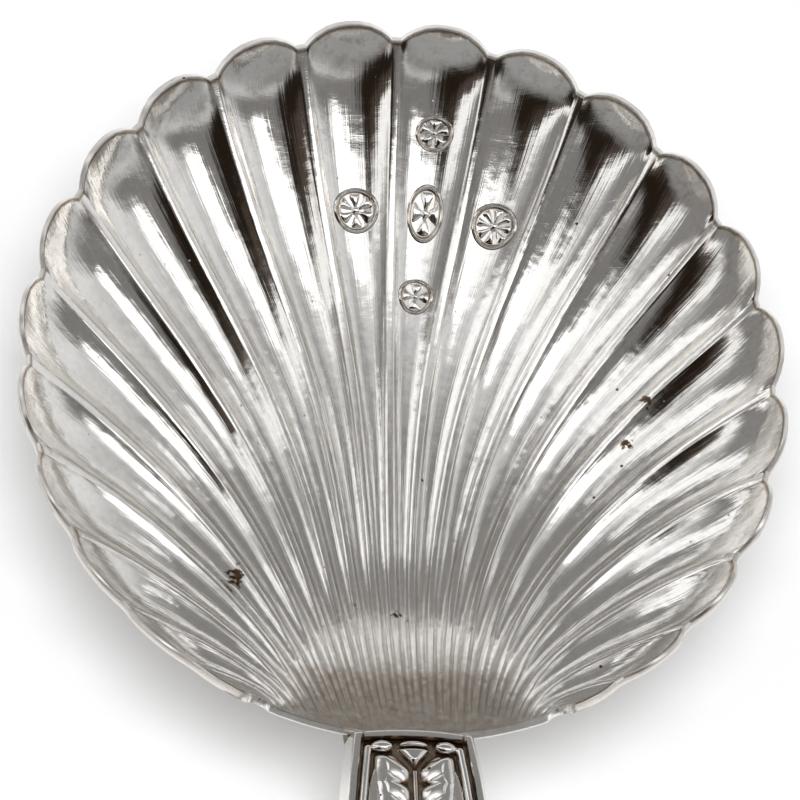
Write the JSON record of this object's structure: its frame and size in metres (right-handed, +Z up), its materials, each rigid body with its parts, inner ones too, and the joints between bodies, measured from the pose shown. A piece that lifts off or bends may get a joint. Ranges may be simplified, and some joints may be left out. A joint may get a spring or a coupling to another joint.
{
  "type": "caddy spoon",
  "caption": "Caddy spoon for measuring tea: a fluted shell bowl with a scalloped rim, and a short hollow handle struck with leaves inside a reeded border.",
  "frame": {"origin": "on the table, in the middle of the spoon's outline, as the spoon lies on the belly of its bowl and the end of its handle", "axes": "+Y along the spoon toward the tip of the bowl, +Z up out of the bowl, +X across the bowl; the plane X = 0 is the plane of symmetry"},
  "size_m": [0.0404, 0.084, 0.0097],
  "materials": {
    "bowl_silver": "polished silver with fine scratches and brown tarnish in the flutes",
    "handle_silver": "struck silver, bright on the raised parts and brown with tarnish on the sunk ground",
    "solder": "dull silver solder"
  },
  "bodies": {
    "root": {"shell_bowl": "bowl_silver", "handle_front": "handle_silver", "handle_back": "handle_silver", "handle_seam": "solder", "heel_joint": "solder"}
  },
  "joints": []
}
